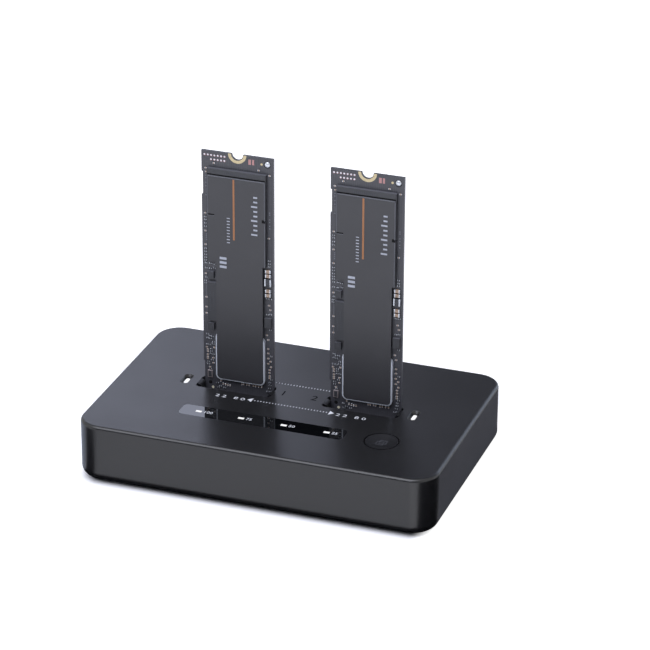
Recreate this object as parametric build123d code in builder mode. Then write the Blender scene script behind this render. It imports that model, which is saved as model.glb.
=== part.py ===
from build123d import *
import os

os.makedirs("parts", exist_ok=True)

# Two-bay docking station with two stick drives standing in its rear sockets.
# Millimetres. X runs along the long side, the front is -Y, Z is up, and the feet rest on Z = 0.

# Case
case_length = 108.0
case_width = 71.4
case_height = 17.9
corner_radius = 7.5
top_edge_radius = 1.0
bottom_edge_radius = 3.0
tray_flat_edge = 0.1
wall = 2.0
top_thickness = 2.0
floor_thickness = 1.8
lip_thickness = 0.9
lip_height = 1.5
lip_clearance = 0.1

# Rubber feet
foot_diameter = 10.0
foot_thickness = 1.6
foot_proud = 0.8
foot_inset_x = 15.0
foot_inset_y = 13.0
foot_clearance = 0.1
foot_edge = 0.4

# Screws that hold the tray to the shell
boss_diameter = 5.6
post_diameter = 6.6
post_rise = 1.0
post_gap = 0.05
pilot_diameter = 1.8
pilot_roof = 1.0
screw_hole_diameter = 2.4
screw_length = 7.0
head_diameter = 3.8
head_height = 1.3
head_pocket_diameter = 4.4
head_pocket_depth = 2.2
drive_slot_width = 0.7
drive_slot_length = 2.2
drive_slot_depth = 0.7

# Vents in the tray
vent_length = 14.0
vent_width = 1.6
vent_pitch_x = 19.0
vent_pitch_y = 4.0
vent_columns = 3
vent_rows = 5

# Main board and the screws that hold it to the tray
board_thickness = 1.6
board_gap = 2.4
board_clearance = 1.0
standoff_diameter = 5.0
standoff_inset_x = 15.5
standoff_inset_y = 4.7
board_screw_length = 3.6

# Stick drives: 22 mm wide, 80 mm long cards with a keyed tongue
card_width = 22.0
card_length = 80.0
card_thickness = 0.8
tongue_width = 19.85
tongue_length = 4.0
tongue_gap = 0.1
key_offset = 6.125
spare_key_offset = -5.625
key_width = 1.2
key_depth = 3.5
key_rib_width = 1.0
key_rib_height = 2.6
mount_notch_diameter = 3.5
mount_ring_diameter = 5.6
mount_ring_setback = 0.15
edge_bite_depth = 0.4
edge_bite_length = 7.2
edge_bite_gap = 6.5
edge_relief_depth = 0.35
edge_relief_height = 13.3
finger_width = 0.35
finger_pitch = 0.5
finger_length = 2.5
finger_start = 0.3
plating_thickness = 0.02
finger_count = 38

# Parts on each drive, from the card's lower left corner
chip_height = 1.1
memory_left = 2.0
memory_width = 18.0
memory_length = 14.0
memory_top_gap = 4.9
memory_gap = 0.5
cache_left = 1.8
cache_start = 27.2
cache_width = 17.1
cache_gap = 7.3
lid_left = 4.25
lid_start = 8.4
lid_size = 15.2
lid_corner = 1.6
lid_border = 0.42
label_thickness = 0.2
label_upper_left = 2.2
label_upper_right = 19.85
label_overhang = 0.2
label_top_gap = 6.9
label_corner = 1.2
power_chip_width = 1.9
power_chip_length = 2.2
power_chip_height = 0.9
power_chip_gap = 1.1
edge_column_x = 20.4
edge_chip_width = 2.0
edge_chip_length = 3.1
edge_chip_gap = 6.65
filter_width = 2.0
filter_length = 2.2
filter_height = 0.9
filter_gap = 0.4
capacitor_length = 1.7
capacitor_width = 1.0
capacitor_height = 0.7
capacitor_pitch = 1.4
capacitor_gap = 1.1
capacitor_pair_gap = 1.15

# Bays: each opening takes two sockets side by side, the front one free
bay_mid_x = 1.3
bay_pitch = 39.2
bay_y = 2.5
socket_pitch = 5.2
socket_length = 23.0
socket_depth = 4.2
socket_height = 8.6
socket_clearance = 0.05
socket_mouth = 0.3
card_side_clearance = 0.2
card_face_clearance = 0.2
lead_in = 0.45
lead_in_depth = 1.5
opening_radius = 1.4
collar_wall = 1.2
collar_gap = 0.3
divider_width = 3.5
divider_reach = 1.25
divider_drop = 0.5

# Progress window and its light guide
window_length = 50.2
window_width = 6.3
window_radius = 1.5
window_thickness = 1.0
window_x = -3.2
window_y = -16.15
fit_gap = 0.05
bar_length = 1.75
bar_width = 1.0
bar_pitch = 13.05
bar_count = 4
bar_sink = 0.02
guide_clearance = 0.1
carrier_width = 3.0
carrier_thickness = 1.2
led_length = 1.6
led_width = 0.8
led_height = 0.7
led_gap = 0.3

# Bay indicators: a tapered recess with a light pipe at its bottom
bay_led_offset = 35.2
recess_length = 6.2
recess_width = 2.8
recess_taper = 0.5
recess_depth = 0.8
pipe_length = 3.1
pipe_width = 1.1
pipe_proud = 0.1
pipe_flange = 0.6
pipe_flange_thickness = 0.8

# Copy button on the top face, over a push switch
button_x = 32.9
button_y = -16.15
button_hole_diameter = 10.25
button_gap = 0.35
button_flange_width = 0.9
button_flange_thickness = 0.9
button_dish_depth = 0.55
button_dish_diameter = 9.0
button_stem_diameter = 3.4
button_travel = 0.5
button_rest_gap = 0.05
button_sleeve_wall = 1.0
button_sleeve_drop = 2.6
switch_size = 6.0
switch_height = 3.5
plunger_diameter = 3.0
plunger_clearance = 0.08
plunger_rise = 1.0
plunger_depth = 1.6

# Power button on the rear face, with a latching switch behind it
power_offset = 11.5
power_axis_height = 4.4
power_cap_diameter = 6.4
power_gap = 0.2
power_sink = 0.1
power_cap_edge = 0.3
power_flange_width = 0.8
power_flange_thickness = 0.8
power_travel = 1.5
power_shaft_diameter = 3.0
power_shaft_length = 6.5
power_body_width = 8.0
power_body_length = 10.0
power_body_height = 7.6
power_body_gap = 0.3

# Data port
usb_x = -6.0
usb_width = 8.94
usb_height = 3.2
usb_depth = 7.5
usb_wall = 0.3
usb_back = 0.8
usb_sink = 0.5
usb_gap = 0.2
tongue_plate_width = 6.7
tongue_plate_thickness = 0.7
tongue_plate_length = 4.6

# Power inlet
inlet_offset = 9.5
inlet_size = 9.0
inlet_depth = 13.0
inlet_bore = 6.3
inlet_bore_depth = 9.5
inlet_hole = 7.6
inlet_pin_diameter = 2.0
inlet_pin_length = 8.5
inlet_wall_gap = 0.1
inlet_axis_height = 4.6

# Parts on the main board
bridge_size = 9.0
bridge_height = 0.9
bridge_gap = 0.9
controller_size = 12.0
controller_height = 1.0
controller_gap = 0.6
inductor_size = 5.0
inductor_height = 2.8
inductor_offset = 14.0
inductor_inset = 10.7
inductor_spacing = 6.4
inductor_corner = 0.8
can_diameter = 6.3
can_height = 5.6
can_base_height = 1.2
can_inset_x = 9.0
can_inset_y = 18.7
can_spacing = 8.0

# Levels and places worked out from the sizes above
underside_z = foot_proud
top_z = underside_z + case_height
parting_z = underside_z + bottom_edge_radius + tray_flat_edge
floor_z = underside_z + floor_thickness
ceiling_z = top_z - top_thickness
board_bottom_z = floor_z + board_gap
board_top_z = board_bottom_z + board_thickness
post_top_z = parting_z + post_rise
socket_top_z = board_top_z + socket_height
card_end_z = socket_top_z - tongue_length + tongue_gap
rear_y = case_width / 2
rear_inner_y = rear_y - wall
boss_x = case_length / 2 - corner_radius
boss_y = case_width / 2 - corner_radius
foot_x = case_length / 2 - foot_inset_x
foot_y = case_width / 2 - foot_inset_y
drive_y = bay_y + socket_pitch / 2
spare_y = bay_y - socket_pitch / 2
card_front_y = drive_y - card_thickness / 2
throat_length = card_width + 2 * card_side_clearance
throat_width = socket_pitch + card_thickness + 2 * card_face_clearance
throat_radius = card_side_clearance + card_face_clearance
board_length = case_length - 2 * (wall + board_clearance)
board_width = case_width - 2 * (wall + board_clearance)
standoff_x = board_length / 2 - standoff_inset_x
standoff_y = board_width / 2 - standoff_inset_y
power_x = standoff_x - power_offset
inlet_x = inlet_offset - standoff_x
bay_centres = [bay_mid_x - bay_pitch / 2, bay_mid_x + bay_pitch / 2]
bay_led_centres = [bay_mid_x - bay_led_offset, bay_mid_x + bay_led_offset]
bar_centres = [window_x + (i - (bar_count - 1) / 2) * bar_pitch for i in range(bar_count)]
guide_bottom_z = board_top_z + led_height + led_gap
boss_places = [(x, y) for x in (-boss_x, boss_x) for y in (-boss_y, boss_y)]
standoff_places = [(x, y) for x in (-standoff_x, standoff_x) for y in (-standoff_y, standoff_y)]
power_axis_z = board_top_z + power_axis_height
inlet_axis_z = board_top_z + inlet_axis_height
usb_axis_z = board_top_z + usb_height / 2

# Places along each drive, from its foot
edge_bite_middle = card_length - edge_bite_gap - edge_bite_length / 2
memory_upper_start = card_length - memory_top_gap - memory_length
memory_lower_start = memory_upper_start - memory_gap - memory_length
cache_length = memory_lower_start - cache_gap - cache_start
power_chip_starts = [
    cache_start - power_chip_gap - power_chip_length,
    cache_start + cache_length + power_chip_gap,
]
label_step = memory_lower_start - label_overhang
label_top = card_length - label_top_gap
capacitor_1 = memory_lower_start - capacitor_gap - capacitor_width / 2
capacitor_2 = capacitor_1 - capacitor_pitch
filter_middle = capacitor_2 - capacitor_width / 2 - filter_gap - filter_length / 2
capacitor_3 = filter_middle - filter_length / 2 - capacitor_pair_gap - capacitor_width / 2
capacitor_4 = capacitor_3 - capacitor_pitch
edge_chip_start = capacitor_4 - capacitor_width / 2 - edge_chip_gap - edge_chip_length


def save(piece, name):
    """Labels a finished piece and writes it as one STEP file."""
    piece.part.label = name
    export_step(piece.part, f"parts/{name}.step")


def wall_plane(y):
    """Upright plane at y whose normal points to the front, with X across and Z up."""
    return Plane(origin=(0, y, 0), x_dir=(1, 0, 0), z_dir=(0, -1, 0))


def card_plane(bay_x, rise):
    """Plane on a drive's front face, raised towards the front, from the card's lower left corner."""
    corner = (bay_x - card_width / 2, card_front_y - rise, card_end_z)
    return Plane(origin=corner, x_dir=(1, 0, 0), z_dir=(0, -1, 0))


# Top shell: the moulded upper casing, open underneath
with BuildPart() as top_shell:
    with BuildSketch(Plane.XY.offset(parting_z)):
        RectangleRounded(case_length, case_width, corner_radius)
    extrude(amount=top_z - parting_z)
    fillet(top_shell.faces().sort_by(Axis.Z)[-1].edges(), top_edge_radius)
    with BuildSketch(Plane.XY.offset(parting_z)):
        RectangleRounded(case_length - 2 * wall, case_width - 2 * wall, corner_radius - wall)
    extrude(amount=ceiling_z - parting_z, mode=Mode.SUBTRACT)
    # Rebate that takes the tray's lip
    rebate = wall - lip_thickness - lip_clearance
    with BuildSketch(Plane.XY.offset(parting_z)):
        RectangleRounded(case_length - 2 * rebate, case_width - 2 * rebate, corner_radius - rebate)
    extrude(amount=lip_height + lip_clearance, mode=Mode.SUBTRACT)
    # Screw bosses in the corners
    with BuildSketch(Plane.XY.offset(post_top_z + post_gap)):
        with Locations(*boss_places):
            Circle(boss_diameter / 2)
    extrude(amount=ceiling_z - post_top_z - post_gap)
    with BuildSketch(Plane.XY.offset(post_top_z + post_gap)):
        with Locations(*boss_places):
            Circle(pilot_diameter / 2)
    extrude(amount=ceiling_z - pilot_roof - post_top_z - post_gap, mode=Mode.SUBTRACT)
    # Collars that guide the cards down to the sockets
    with BuildSketch(Plane.XY.offset(socket_top_z + collar_gap)):
        for bay_x in bay_centres:
            with Locations((bay_x, bay_y)):
                RectangleRounded(
                    throat_length + 2 * collar_wall,
                    throat_width + 2 * collar_wall,
                    throat_radius + collar_wall,
                )
    extrude(amount=ceiling_z - socket_top_z - collar_gap)
    # Sleeve round the button's flange
    sleeve_inner = button_hole_diameter / 2 + button_flange_width + button_rest_gap
    with BuildSketch(Plane.XY.offset(ceiling_z - button_sleeve_drop)):
        with Locations((button_x, button_y)):
            Circle(sleeve_inner + button_sleeve_wall)
            Circle(sleeve_inner, mode=Mode.SUBTRACT)
    extrude(amount=button_sleeve_drop)
    # Bay openings: a tapered lead-in, then a straight throat
    for bay_x in bay_centres:
        with BuildSketch(Plane.XY.offset(top_z)):
            with Locations((bay_x, bay_y)):
                RectangleRounded(throat_length + 2 * lead_in, throat_width + 2 * lead_in, opening_radius)
        with BuildSketch(Plane.XY.offset(top_z - lead_in_depth)):
            with Locations((bay_x, bay_y)):
                RectangleRounded(throat_length, throat_width, throat_radius)
        loft(mode=Mode.SUBTRACT)
        with BuildSketch(Plane.XY.offset(socket_top_z)):
            with Locations((bay_x, bay_y)):
                RectangleRounded(throat_length, throat_width, throat_radius)
        extrude(amount=top_z - lead_in_depth - socket_top_z, mode=Mode.SUBTRACT)
    # Dividers between the two card slots, sloping down from each end of an opening
    opening_half = throat_length / 2 + lead_in
    for bay_x in bay_centres:
        for side in (-1, 1):
            edge_x = bay_x + side * opening_half
            tip_x = edge_x - side * divider_reach
            root_x = edge_x + side * collar_wall / 2
            with BuildSketch(Plane.XZ.offset(-bay_y)):
                with BuildLine():
                    Polyline(
                        (root_x, socket_top_z + collar_gap),
                        (tip_x, socket_top_z + collar_gap),
                        (tip_x, top_z - divider_drop),
                        (edge_x, top_z),
                        (root_x, top_z),
                        close=True,
                    )
                make_face()
            extrude(amount=divider_width / 2, both=True)
    # Seat for the progress window, with holes for the light guide
    with BuildSketch(Plane.XY.offset(top_z - window_thickness)):
        with Locations((window_x, window_y)):
            RectangleRounded(window_length + 2 * fit_gap, window_width + 2 * fit_gap, window_radius + fit_gap)
    extrude(amount=window_thickness, mode=Mode.SUBTRACT)
    with BuildSketch(Plane.XY.offset(ceiling_z)):
        with Locations(*[(x, window_y) for x in bar_centres]):
            Rectangle(bar_length + 2 * guide_clearance, bar_width + 2 * guide_clearance)
    extrude(amount=top_thickness, mode=Mode.SUBTRACT)
    # Button hole
    with BuildSketch(Plane.XY.offset(ceiling_z)):
        with Locations((button_x, button_y)):
            Circle(button_hole_diameter / 2)
    extrude(amount=top_thickness, mode=Mode.SUBTRACT)
    # Bay indicator recesses, and the holes for their light pipes
    for led_x in bay_led_centres:
        with BuildSketch(Plane.XY.offset(top_z)):
            with Locations((led_x, bay_y)):
                SlotOverall(recess_length, recess_width, rotation=90)
        with BuildSketch(Plane.XY.offset(top_z - recess_depth)):
            with Locations((led_x, bay_y)):
                SlotOverall(recess_length - 2 * recess_taper, recess_width - 2 * recess_taper, rotation=90)
        loft(mode=Mode.SUBTRACT)
        with BuildSketch(Plane.XY.offset(ceiling_z)):
            with Locations((led_x, bay_y)):
                SlotOverall(pipe_length + 2 * fit_gap, pipe_width + 2 * fit_gap, rotation=90)
        extrude(amount=top_thickness, mode=Mode.SUBTRACT)
    # Rear openings: power button, data port and power inlet
    with BuildSketch(wall_plane(rear_y)):
        with Locations((power_x, power_axis_z)):
            Circle(power_cap_diameter / 2 + power_gap)
        with Locations((usb_x, usb_axis_z)):
            SlotOverall(usb_width + 2 * usb_gap, usb_height + 2 * usb_gap)
        with Locations((inlet_x, inlet_axis_z)):
            Circle(inlet_hole / 2)
    extrude(amount=wall, mode=Mode.SUBTRACT)
save(top_shell, "top_shell")

# Base tray: the floor of the case, with its rounded lower edge
with BuildPart() as base_tray:
    with BuildSketch(Plane.XY.offset(underside_z)):
        RectangleRounded(case_length, case_width, corner_radius)
    extrude(amount=parting_z - underside_z)
    fillet(base_tray.faces().sort_by(Axis.Z)[0].edges(), bottom_edge_radius)
    with BuildSketch(Plane.XY.offset(floor_z)):
        RectangleRounded(case_length - 2 * wall, case_width - 2 * wall, corner_radius - wall)
    extrude(amount=parting_z - floor_z, mode=Mode.SUBTRACT)
    # Lip that locates the shell
    lip_outset = wall - lip_thickness
    with BuildSketch(Plane.XY.offset(parting_z)):
        RectangleRounded(
            case_length - 2 * lip_outset, case_width - 2 * lip_outset, corner_radius - lip_outset
        )
        RectangleRounded(
            case_length - 2 * wall, case_width - 2 * wall, corner_radius - wall, mode=Mode.SUBTRACT
        )
    extrude(amount=lip_height)
    # Screw posts, standoffs for the board, and their holes
    with BuildSketch(Plane.XY.offset(floor_z)):
        with Locations(*boss_places):
            Circle(post_diameter / 2)
    extrude(amount=post_top_z - floor_z)
    with BuildSketch(Plane.XY.offset(floor_z)):
        with Locations(*standoff_places):
            Circle(standoff_diameter / 2)
    extrude(amount=board_gap)
    with BuildSketch(Plane.XY.offset(underside_z)):
        with Locations(*boss_places):
            Circle(screw_hole_diameter / 2)
    extrude(amount=post_top_z - underside_z, mode=Mode.SUBTRACT)
    with BuildSketch(Plane.XY.offset(underside_z)):
        with Locations(*boss_places):
            Circle(head_pocket_diameter / 2)
    extrude(amount=head_pocket_depth, mode=Mode.SUBTRACT)
    with BuildSketch(Plane.XY.offset(floor_z)):
        with Locations(*standoff_places):
            Circle(pilot_diameter / 2)
    extrude(amount=board_gap, mode=Mode.SUBTRACT)
    # Seats for the feet, and the vents
    with BuildSketch(Plane.XY.offset(underside_z)):
        with GridLocations(2 * foot_x, 2 * foot_y, 2, 2):
            Circle(foot_diameter / 2 + foot_clearance)
    extrude(amount=foot_thickness - foot_proud, mode=Mode.SUBTRACT)
    with BuildSketch(Plane.XY.offset(underside_z)):
        with GridLocations(vent_pitch_x, vent_pitch_y, vent_columns, vent_rows):
            SlotOverall(vent_length, vent_width)
    extrude(amount=floor_thickness, mode=Mode.SUBTRACT)
save(base_tray, "base_tray")

# Rubber feet, glued into their seats
foot_names = {
    "foot_front_left": (-foot_x, -foot_y),
    "foot_front_right": (foot_x, -foot_y),
    "foot_rear_left": (-foot_x, foot_y),
    "foot_rear_right": (foot_x, foot_y),
}
for foot_name, place in foot_names.items():
    with BuildPart() as foot:
        with BuildSketch():
            with Locations(place):
                Circle(foot_diameter / 2)
        extrude(amount=foot_thickness)
        chamfer(foot.faces().sort_by(Axis.Z)[0].edges(), foot_edge)
    save(foot, foot_name)

# Case screws: pan heads in their pockets, shanks up into the shell's bosses
with BuildPart() as case_screws:
    head_seat_z = underside_z + head_pocket_depth
    with BuildSketch(Plane.XY.offset(head_seat_z - head_height)):
        with Locations(*boss_places):
            Circle(head_diameter / 2)
    extrude(amount=head_height)
    with BuildSketch(Plane.XY.offset(head_seat_z)):
        with Locations(*boss_places):
            Circle(pilot_diameter / 2)
    extrude(amount=screw_length)
    with BuildSketch(Plane.XY.offset(head_seat_z - head_height)):
        with Locations(*boss_places):
            Rectangle(drive_slot_length, drive_slot_width)
            Rectangle(drive_slot_width, drive_slot_length)
    extrude(amount=drive_slot_depth, mode=Mode.SUBTRACT)
save(case_screws, "case_screws")

# Main board, notched round the screw posts
notch = post_diameter / 2 + board_clearance
notch_x = board_length / 2 - boss_x + notch
notch_y = board_width / 2 - boss_y + notch
with BuildPart() as main_board:
    with BuildSketch(Plane.XY.offset(board_bottom_z)):
        Rectangle(board_length, board_width)
        with GridLocations(board_length, board_width, 2, 2):
            Rectangle(2 * notch_x, 2 * notch_y, mode=Mode.SUBTRACT)
        with Locations(*standoff_places):
            Circle(screw_hole_diameter / 2, mode=Mode.SUBTRACT)
    extrude(amount=board_thickness)
save(main_board, "main_board")

# Board screws
with BuildPart() as board_screws:
    with BuildSketch(Plane.XY.offset(board_top_z)):
        with Locations(*standoff_places):
            Circle(head_diameter / 2)
    extrude(amount=head_height)
    with BuildSketch(Plane.XY.offset(board_top_z - board_screw_length)):
        with Locations(*standoff_places):
            Circle(pilot_diameter / 2)
    extrude(amount=board_screw_length)
    with BuildSketch(Plane.XY.offset(board_top_z + head_height - drive_slot_depth)):
        with Locations(*standoff_places):
            Rectangle(drive_slot_length, drive_slot_width)
            Rectangle(drive_slot_width, drive_slot_length)
    extrude(amount=drive_slot_depth, mode=Mode.SUBTRACT)
save(board_screws, "board_screws")


def build_socket(name, bay_x, socket_y, key_x):
    """Upright card socket: a slot for the tongue, a rib for its key and a chamfered mouth."""
    slot_width = card_thickness + 2 * socket_clearance
    slot_bottom_z = card_end_z - tongue_gap
    with BuildPart() as socket:
        with BuildSketch(Plane.XY.offset(board_top_z)):
            with Locations((bay_x, socket_y)):
                Rectangle(socket_length, socket_depth)
        extrude(amount=socket_height)
        with BuildSketch(Plane.XY.offset(slot_bottom_z)):
            with Locations((bay_x, socket_y)):
                Rectangle(tongue_width + 2 * tongue_gap, slot_width)
        extrude(amount=socket_top_z - slot_bottom_z, mode=Mode.SUBTRACT)
        mouth = socket.faces().sort_by(Axis.Z)[-1].inner_wires()[0].edges()
        chamfer(mouth, socket_mouth)
        with BuildSketch(Plane.XY.offset(slot_bottom_z)):
            with Locations((bay_x + key_x, socket_y)):
                Rectangle(key_rib_width, slot_width)
        extrude(amount=key_rib_height)
    save(socket, name)


for number, bay_x in enumerate(bay_centres, start=1):
    build_socket(f"bay_{number}_rear_socket", bay_x, drive_y, key_offset)
    build_socket(f"bay_{number}_front_socket", bay_x, spare_y, spare_key_offset)

# Progress window: a gloss black strip let into the top face
with BuildPart() as progress_window:
    with BuildSketch(Plane.XY.offset(top_z - window_thickness)):
        with Locations((window_x, window_y)):
            RectangleRounded(window_length, window_width, window_radius)
        with Locations(*[(x, window_y) for x in bar_centres]):
            Rectangle(bar_length + 2 * fit_gap, bar_width + 2 * fit_gap, mode=Mode.SUBTRACT)
    extrude(amount=window_thickness)
save(progress_window, "progress_window")

# Light guide: one clear moulding, a carrier bar with a prong up to each mark and a leg down to each lamp
carrier_top_z = ceiling_z - fit_gap
with BuildPart() as progress_light_guide:
    with BuildSketch(Plane.XY.offset(guide_bottom_z)):
        with Locations(*[(x, window_y) for x in bar_centres]):
            Rectangle(bar_length, bar_width)
    extrude(amount=top_z - bar_sink - guide_bottom_z)
    with BuildSketch(Plane.XY.offset(carrier_top_z - carrier_thickness)):
        with Locations((window_x, window_y)):
            Rectangle((bar_count - 1) * bar_pitch + 2 * bar_length, carrier_width)
    extrude(amount=carrier_thickness)
save(progress_light_guide, "progress_light_guide")

# Bay light pipes
for number, led_x in enumerate(bay_led_centres, start=1):
    with BuildPart() as light_pipe:
        with BuildSketch(Plane.XY.offset(guide_bottom_z)):
            with Locations((led_x, bay_y)):
                SlotOverall(pipe_length, pipe_width, rotation=90)
        extrude(amount=top_z - recess_depth + pipe_proud - guide_bottom_z)
        with BuildSketch(Plane.XY.offset(ceiling_z - fit_gap - pipe_flange_thickness)):
            with Locations((led_x, bay_y)):
                SlotOverall(pipe_length + 2 * pipe_flange, pipe_width + 2 * pipe_flange, rotation=90)
        extrude(amount=pipe_flange_thickness)
    save(light_pipe, f"bay_{number}_light_pipe")

# Lamps on the board, one under each guide
with BuildPart() as indicator_leds:
    with BuildSketch(Plane.XY.offset(board_top_z)):
        with Locations(*[(x, window_y) for x in bar_centres]):
            Rectangle(led_length, led_width)
        with Locations(*[(x, bay_y) for x in bay_led_centres]):
            Rectangle(led_width, led_length)
    extrude(amount=led_height)
save(indicator_leds, "indicator_leds")

# Copy button: a dished cap with a flange under the top face and a stem to its switch
plunger_top_z = board_top_z + switch_height + plunger_rise
cap_radius = button_hole_diameter / 2 - button_gap
flange_radius = button_hole_diameter / 2 + button_flange_width
flange_top_z = ceiling_z - button_rest_gap
dish_half = button_dish_diameter / 2
dish_radius = (dish_half**2 + button_dish_depth**2) / (2 * button_dish_depth)
with BuildPart() as copy_button:
    with BuildSketch(Plane.XY.offset(flange_top_z - button_flange_thickness)):
        with Locations((button_x, button_y)):
            Circle(flange_radius)
    extrude(amount=button_flange_thickness)
    with BuildSketch(Plane.XY.offset(flange_top_z)):
        with Locations((button_x, button_y)):
            Circle(cap_radius)
    extrude(amount=top_z - flange_top_z)
    with BuildSketch(Plane.XY.offset(plunger_top_z + fit_gap)):
        with Locations((button_x, button_y)):
            Circle(button_stem_diameter / 2)
    extrude(amount=flange_top_z - plunger_top_z - fit_gap)
    with Locations((button_x, button_y, top_z - button_dish_depth + dish_radius)):
        Sphere(dish_radius, mode=Mode.SUBTRACT)
save(copy_button, "copy_button")

# Push switch under the copy button
with BuildPart() as copy_switch_body:
    with BuildSketch(Plane.XY.offset(board_top_z)):
        with Locations((button_x, button_y)):
            Rectangle(switch_size, switch_size)
    extrude(amount=switch_height)
    plunger_hole_z = board_top_z + switch_height - plunger_depth - button_travel - fit_gap
    with BuildSketch(Plane.XY.offset(plunger_hole_z)):
        with Locations((button_x, button_y)):
            Circle(plunger_diameter / 2 + plunger_clearance)
    extrude(amount=switch_height, mode=Mode.SUBTRACT)
save(copy_switch_body, "copy_switch_body")

with BuildPart() as copy_switch_plunger:
    with BuildSketch(Plane.XY.offset(board_top_z + switch_height - plunger_depth)):
        with Locations((button_x, button_y)):
            Circle(plunger_diameter / 2)
    extrude(amount=plunger_depth + plunger_rise)
save(copy_switch_plunger, "copy_switch_plunger")

# Power button: a round cap through the rear wall, a flange behind it and a shaft into its switch
power_flange_y = rear_inner_y - power_gap
power_shaft_y = power_flange_y - power_flange_thickness
with BuildPart() as power_button:
    with BuildSketch(wall_plane(rear_y - power_sink)):
        with Locations((power_x, power_axis_z)):
            Circle(power_cap_diameter / 2)
    extrude(amount=rear_y - power_sink - power_flange_y)
    chamfer(power_button.faces().sort_by(Axis.Y)[-1].edges(), power_cap_edge)
    with BuildSketch(wall_plane(power_flange_y)):
        with Locations((power_x, power_axis_z)):
            Circle(power_cap_diameter / 2 + power_flange_width)
    extrude(amount=power_flange_thickness)
    with BuildSketch(wall_plane(power_shaft_y)):
        with Locations((power_x, power_axis_z)):
            Circle(power_shaft_diameter / 2)
    extrude(amount=power_shaft_length)
save(power_button, "power_button")

with BuildPart() as power_switch_body:
    power_body_y = power_shaft_y - power_travel - power_body_gap
    with BuildSketch(Plane.XY.offset(board_top_z)):
        with Locations((power_x, power_body_y - power_body_length / 2)):
            Rectangle(power_body_width, power_body_length)
    extrude(amount=power_body_height)
    with BuildSketch(wall_plane(power_body_y)):
        with Locations((power_x, power_axis_z)):
            Circle(power_shaft_diameter / 2 + plunger_clearance)
    extrude(amount=power_shaft_length - power_body_gap + fit_gap, mode=Mode.SUBTRACT)
save(power_switch_body, "power_switch_body")

# Data port: a folded steel sleeve, closed behind, round a contact tongue
usb_front_y = rear_y - usb_sink
with BuildPart() as data_port_shell:
    with BuildSketch(wall_plane(usb_front_y)):
        with Locations((usb_x, usb_axis_z)):
            SlotOverall(usb_width, usb_height)
    extrude(amount=usb_depth)
    with BuildSketch(wall_plane(usb_front_y)):
        with Locations((usb_x, usb_axis_z)):
            SlotOverall(usb_width - 2 * usb_wall, usb_height - 2 * usb_wall)
    extrude(amount=usb_depth - usb_back, mode=Mode.SUBTRACT)
save(data_port_shell, "data_port_shell")

with BuildPart() as data_port_tongue:
    with BuildSketch(wall_plane(usb_front_y - usb_depth + usb_back + tongue_plate_length)):
        with Locations((usb_x, usb_axis_z)):
            Rectangle(tongue_plate_width, tongue_plate_thickness)
    extrude(amount=tongue_plate_length)
save(data_port_tongue, "data_port_tongue")

# Power inlet: a square body with a round bore, and the pin in its centre
inlet_front_y = rear_inner_y - inlet_wall_gap
with BuildPart() as power_inlet_body:
    with BuildSketch(wall_plane(inlet_front_y)):
        with Locations((inlet_x, inlet_axis_z)):
            Rectangle(inlet_size, inlet_size)
    extrude(amount=inlet_depth)
    with BuildSketch(wall_plane(inlet_front_y)):
        with Locations((inlet_x, inlet_axis_z)):
            Circle(inlet_bore / 2)
    extrude(amount=inlet_bore_depth, mode=Mode.SUBTRACT)
save(power_inlet_body, "power_inlet_body")

with BuildPart() as power_inlet_pin:
    with BuildSketch(wall_plane(inlet_front_y - inlet_bore_depth)):
        with Locations((inlet_x, inlet_axis_z)):
            Circle(inlet_pin_diameter / 2)
    extrude(amount=-inlet_pin_length)
    fillet(power_inlet_pin.faces().sort_by(Axis.Y)[-1].edges(), inlet_pin_diameter / 4)
save(power_inlet_pin, "power_inlet_pin")

# Chips on the main board: the bridges in front of the rear switch, the copier in front of the sockets
bridge_y = power_body_y - power_body_length - bridge_gap - bridge_size / 2
controller_y = spare_y - socket_depth / 2 - controller_gap - controller_size / 2
for number, bay_x in enumerate(bay_centres, start=1):
    with BuildPart() as bridge_chip:
        with BuildSketch(Plane.XY.offset(board_top_z)):
            with Locations((bay_x, bridge_y)):
                Rectangle(bridge_size, bridge_size)
        extrude(amount=bridge_height)
    save(bridge_chip, f"bridge_chip_{number}")

with BuildPart() as copy_controller_chip:
    with BuildSketch(Plane.XY.offset(board_top_z)):
        with Locations((bay_mid_x, controller_y)):
            Rectangle(controller_size, controller_size)
    extrude(amount=controller_height)
save(copy_controller_chip, "copy_controller_chip")

with BuildPart() as inductors:
    with BuildSketch(Plane.XY.offset(board_top_z)):
        with Locations((usb_x + inductor_offset, board_width / 2 - inductor_inset)):
            with GridLocations(inductor_spacing, inductor_spacing, 1, 2):
                RectangleRounded(inductor_size, inductor_size, inductor_corner)
    extrude(amount=inductor_height)
save(inductors, "inductors")

can_middle = (can_inset_x - board_length / 2, board_width / 2 - can_inset_y)
with BuildPart() as can_capacitors:
    with BuildSketch(Plane.XY.offset(board_top_z)):
        with Locations(can_middle):
            with GridLocations(can_spacing, can_spacing, 1, 2):
                Rectangle(can_diameter, can_diameter)
    extrude(amount=can_base_height)
    with BuildSketch(Plane.XY.offset(board_top_z + can_base_height)):
        with Locations(can_middle):
            with GridLocations(can_spacing, can_spacing, 1, 2):
                Circle(can_diameter / 2)
    extrude(amount=can_height - can_base_height)
save(can_capacitors, "can_capacitors")


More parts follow.
